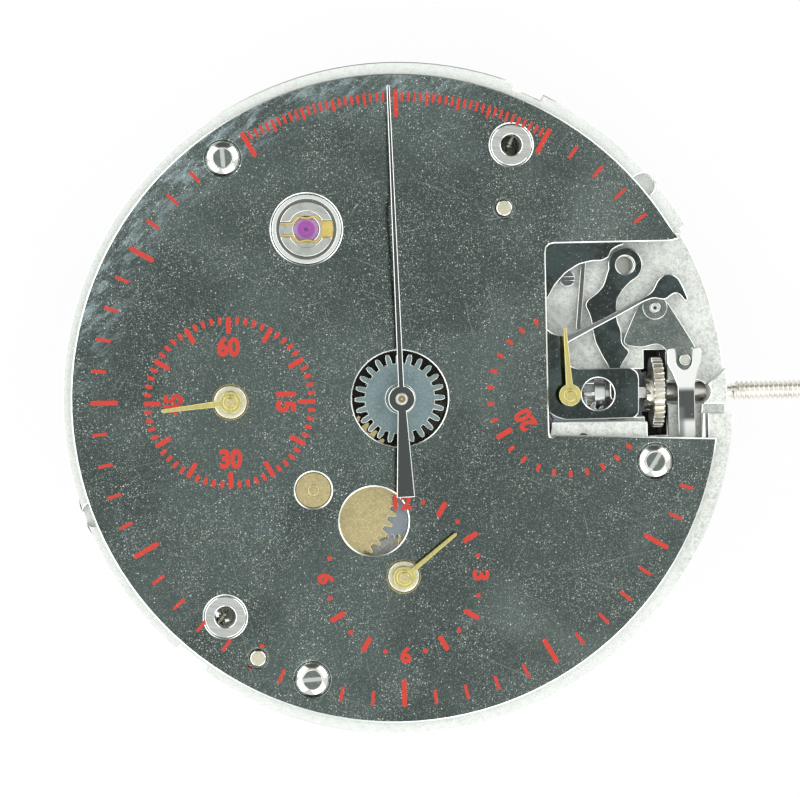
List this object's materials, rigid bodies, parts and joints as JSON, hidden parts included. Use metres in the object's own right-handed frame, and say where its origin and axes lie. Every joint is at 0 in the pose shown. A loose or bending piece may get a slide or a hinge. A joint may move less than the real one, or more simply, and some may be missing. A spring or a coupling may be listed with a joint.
{
  "type": "watch movement",
  "caption": "Round hand-wound chronograph watch movement with a polished dial-side plate, open keyless works, four hands and a stem for winding and setting.",
  "frame": {"origin": "on the axis of the centre hands, in the plane of the casing shoulder where the body rests in a holder", "axes": "+Z towards the dial side, +X along the winding stem towards the crown"},
  "size_m": [0.036, 0.031, 0.0087],
  "materials": {
    "nickel_plate": "fine blasted nickel",
    "black_mirror": "dark mirror polish",
    "polished_steel": "polished",
    "brushed_steel": "straight grained",
    "brass": "satin brass",
    "gold_hand": "satin pale gold",
    "blue_steel": "blued",
    "ruby": "polished"
  },
  "bodies": {
    "plate": {"main_plate": "nickel_plate", "dial_plate": "black_mirror", "movement_screws": "polished_steel", "steady_pins": "polished_steel", "shock_setting_dial_side": "nickel_plate", "shock_spring_dial_side": "gold_hand", "keyless_cover": "black_mirror", "keyless_screws": "polished_steel", "setting_fork_spring": "polished_steel", "yoke_spring": "brushed_steel", "arbor_bushes": "brass", "barrel_bridge": "nickel_plate", "click_spring": "brushed_steel", "pallet_bridge": "nickel_plate", "train_bridge": "nickel_plate", "bridge_jewels": "ruby", "balance_cock": "nickel_plate", "hairspring": "blue_steel", "shock_setting_back": "nickel_plate", "chrono_bridge": "nickel_plate"},
    "setting_lever": {"setting_lever": "brushed_steel"},
    "yoke": {"yoke": "black_mirror"},
    "winding_pinion": {"winding_pinion": "polished_steel"},
    "winding_stem": {"winding_stem": "polished_steel"},
    "sliding_pinion": {"sliding_pinion": "polished_steel"},
    "crown_wheel": {"crown_wheel": "brushed_steel"},
    "barrel_arbor": {"barrel_arbor": "polished_steel", "ratchet_wheel": "brushed_steel"},
    "intermediate_winding_wheel": {"intermediate_winding_wheel": "polished_steel"},
    "click": {"click": "brushed_steel"},
    "barrel": {"barrel_drum": "brass", "barrel_cover": "brass", "mainspring": "blue_steel"},
    "centre_wheel": {"centre_wheel": "brass"},
    "third_wheel": {"third_wheel": "brass"},
    "fourth_wheel": {"fourth_wheel": "brass", "small_seconds_hand": "gold_hand"},
    "escape_wheel": {"escape_wheel": "polished_steel"},
    "pallet_fork": {"pallet_fork": "polished_steel"},
    "balance": {"balance_wheel": "brass"},
    "cannon_pinion": {"cannon_pinion": "polished_steel"},
    "minute_wheel": {"minute_wheel": "brass"},
    "intermediate_setting_wheel": {"intermediate_setting_wheel": "polished_steel"},
    "setting_wheel": {"setting_wheel": "polished_steel"},
    "hour_wheel": {"hour_wheel": "brushed_steel"},
    "day_wheel": {"day_wheel": "brass"},
    "chrono_runner": {"chrono_runner": "brass", "chrono_seconds_hand": "black_mirror"},
    "minute_counter": {"minute_counter_runner": "brass", "minute_counter_hand": "gold_hand"},
    "intermediate_counter_wheel": {"intermediate_counter_wheel": "polished_steel"},
    "hour_counter": {"hour_counter_wheel": "brass", "hour_counter_hand": "gold_hand"},
    "hour_counter_idler": {"hour_counter_idler": "brushed_steel"},
    "coupling_lever": {"coupling_lever": "brushed_steel"},
    "coupling_wheel": {"coupling_wheel": "brass"},
    "column_wheel": {"column_wheel": "polished_steel"},
    "operating_lever": {"operating_lever": "brushed_steel"},
    "reset_hammer": {"reset_hammer": "brushed_steel"},
    "regulator_index": {"regulator_index": "polished_steel"}
  },
  "joints": [
    {"name": "stem_turn", "type": "hinge", "parent": "plate", "child": "winding_pinion", "pos_m": [0, 0, 0.0006], "axis": [1, 0, 0], "continuous": true},
    {"name": "stem_pull", "type": "slide", "parent": "winding_pinion", "child": "winding_stem", "axis": [1, 0, 0], "range_m": [-0.00045, 0]},
    {"name": "sliding_pinion_shift", "type": "slide", "parent": "winding_pinion", "child": "sliding_pinion", "axis": [1, 0, 0], "range_m": [0, 0.0005]},
    {"name": "setting_lever_turn", "type": "hinge", "parent": "plate", "child": "setting_lever", "pos_m": [0.01328, 0.0015, 0], "axis": [0, 0, 1], "range_deg": [-17.4, 0]},
    {"name": "yoke_swing", "type": "hinge", "parent": "plate", "child": "yoke", "pos_m": [0.01063, 0.00595, 0], "axis": [0, 0, 1], "range_deg": [0, 4.95]},
    {"name": "crown_wheel_turn", "type": "hinge", "parent": "plate", "child": "crown_wheel", "pos_m": [0.01025, 0, 0], "axis": [0, 0, 1], "continuous": true},
    {"name": "intermediate_winding_turn", "type": "hinge", "parent": "plate", "child": "intermediate_winding_wheel", "pos_m": [0.00907, 0.00278, 0], "axis": [0, 0, 1], "continuous": true},
    {"name": "ratchet_turn", "type": "hinge", "parent": "plate", "child": "barrel_arbor", "pos_m": [0.00369, 0.00473, 0], "axis": [0, 0, 1], "continuous": true},
    {"name": "click_swing", "type": "hinge", "parent": "plate", "child": "click", "pos_m": [0.00735, 0.00935, 0], "axis": [0, 0, 1], "range_deg": [-6, 0], "stiffness_Nm_per_rad": 0.000002},
    {"name": "seconds_turn", "type": "hinge", "parent": "plate", "child": "fourth_wheel", "pos_m": [-0.0078, 0, 0], "axis": [0, 0, 1], "continuous": true},
    {"name": "third_turn", "type": "hinge", "parent": "plate", "child": "third_wheel", "pos_m": [-0.0043, -0.001, 0], "axis": [0, 0, 1], "continuous": true},
    {"name": "centre_turn", "type": "hinge", "parent": "plate", "child": "centre_wheel", "pos_m": [0, 0, 0], "axis": [0, 0, 1], "continuous": true},
    {"name": "barrel_turn", "type": "hinge", "parent": "plate", "child": "barrel", "pos_m": [0.00369, 0.00473, 0], "axis": [0, 0, 1], "continuous": true},
    {"name": "escape_turn", "type": "hinge", "parent": "plate", "child": "escape_wheel", "pos_m": [-0.00655, 0.00315, 0], "axis": [0, 0, 1], "continuous": true},
    {"name": "pallet_swing", "type": "hinge", "parent": "plate", "child": "pallet_fork", "pos_m": [-0.00545, 0.00531, 0], "axis": [0, 0, 1], "range_deg": [-5, 5]},
    {"name": "balance_swing", "type": "hinge", "parent": "plate", "child": "balance", "pos_m": [-0.00414, 0.00787, 0], "axis": [0, 0, 1], "range_deg": [-220, 220], "stiffness_Nm_per_rad": 0.00000025},
    {"name": "cannon_turn", "type": "hinge", "parent": "plate", "child": "cannon_pinion", "pos_m": [0, 0, 0], "axis": [0, 0, 1], "continuous": true},
    {"name": "minute_wheel_turn", "type": "hinge", "parent": "plate", "child": "minute_wheel", "pos_m": [0.00194, -0.00048, 0], "axis": [0, 0, 1], "continuous": true},
    {"name": "intermediate_setting_turn", "type": "hinge", "parent": "plate", "child": "intermediate_setting_wheel", "pos_m": [0.00507, -0.00126, 0], "axis": [0, 0, 1], "continuous": true},
    {"name": "setting_wheel_turn", "type": "hinge", "parent": "plate", "child": "setting_wheel", "pos_m": [0.00845, -0.0021, 0], "axis": [0, 0, 1], "continuous": true},
    {"name": "hour_wheel_turn", "type": "hinge", "parent": "plate", "child": "hour_wheel", "pos_m": [0, 0, 0], "axis": [0, 0, 1], "continuous": true},
    {"name": "day_wheel_turn", "type": "hinge", "parent": "plate", "child": "day_wheel", "pos_m": [-0.00407, -0.00413, 0], "axis": [0, 0, 1], "continuous": true},
    {"name": "chrono_turn", "type": "hinge", "parent": "plate", "child": "chrono_runner", "pos_m": [0, 0, 0], "axis": [0, 0, 1], "continuous": true},
    {"name": "minute_counter_turn", "type": "hinge", "parent": "plate", "child": "minute_counter", "pos_m": [0.0078, 0, 0], "axis": [0, 0, 1], "continuous": true},
    {"name": "intermediate_counter_turn", "type": "hinge", "parent": "plate", "child": "intermediate_counter_wheel", "pos_m": [0.00465, -0.00175, 0], "axis": [0, 0, 1], "continuous": true},
    {"name": "hour_counter_turn", "type": "hinge", "parent": "plate", "child": "hour_counter", "pos_m": [0, -0.0082, 0], "axis": [0, 0, 1], "continuous": true},
    {"name": "hour_idler_turn", "type": "hinge", "parent": "plate", "child": "hour_counter_idler", "pos_m": [-0.00032, -0.00536, 0], "axis": [0, 0, 1], "continuous": true},
    {"name": "coupling_lever_swing", "type": "hinge", "parent": "plate", "child": "coupling_lever", "pos_m": [-0.0078, 0, 0], "axis": [0, 0, 1], "range_deg": [0, 4.2]},
    {"name": "coupling_wheel_turn", "type": "hinge", "parent": "coupling_lever", "child": "coupling_wheel", "pos_m": [-0.00461, -0.00138, 0], "axis": [0, 0, 1], "continuous": true},
    {"name": "column_wheel_turn", "type": "hinge", "parent": "plate", "child": "column_wheel", "pos_m": [-0.0012, -0.0109, 0], "axis": [0, 0, 1], "continuous": true},
    {"name": "operating_lever_swing", "type": "hinge", "parent": "plate", "child": "operating_lever", "pos_m": [0.0093, -0.0092, 0], "axis": [0, 0, 1], "range_deg": [0, 3], "stiffness_Nm_per_rad": 0.000004},
    {"name": "reset_hammer_swing", "type": "hinge", "parent": "plate", "child": "reset_hammer", "pos_m": [0.0062, -0.0074, 0], "axis": [0, 0, 1], "range_deg": [0, 8]},
    {"name": "regulator_turn", "type": "hinge", "parent": "plate", "child": "regulator_index", "pos_m": [-0.00414, 0.00787, 0], "axis": [0, 0, 1], "range_deg": [-12, 12]}
  ],
  "couplings": [
    {"joint": "sliding_pinion_shift", "follows": "stem_pull", "ratio": -1.11},
    {"joint": "setting_lever_turn", "follows": "stem_pull", "rad_per_m": 672.92},
    {"joint": "yoke_swing", "follows": "stem_pull", "rad_per_m": -190.05},
    {"joint": "crown_wheel_turn", "follows": "stem_turn", "ratio": 0.88889},
    {"joint": "intermediate_winding_turn", "follows": "stem_turn", "ratio": -1.3333},
    {"joint": "ratchet_turn", "follows": "stem_turn", "ratio": 0.35556},
    {"joint": "third_turn", "follows": "seconds_turn", "ratio": -0.13333},
    {"joint": "centre_turn", "follows": "seconds_turn", "ratio": 0.016667},
    {"joint": "barrel_turn", "follows": "seconds_turn", "ratio": -0.002381},
    {"joint": "escape_turn", "follows": "seconds_turn", "ratio": -8.75},
    {"joint": "coupling_wheel_turn", "follows": "seconds_turn", "ratio": -1.6667},
    {"joint": "cannon_turn", "follows": "hour_wheel_turn", "ratio": 12},
    {"joint": "minute_wheel_turn", "follows": "hour_wheel_turn", "ratio": -4},
    {"joint": "intermediate_setting_turn", "follows": "hour_wheel_turn", "ratio": 4},
    {"joint": "setting_wheel_turn", "follows": "hour_wheel_turn", "ratio": -5.5385},
    {"joint": "day_wheel_turn", "follows": "hour_wheel_turn", "ratio": -0.5},
    {"joint": "minute_counter_turn", "follows": "chrono_turn", "ratio": 0.033333},
    {"joint": "intermediate_counter_turn", "follows": "chrono_turn", "ratio": -0.055556},
    {"joint": "hour_counter_turn", "follows": "chrono_turn", "ratio": 0.0013889},
    {"joint": "hour_idler_turn", "follows": "chrono_turn", "ratio": -0.0083333}
  ]
}
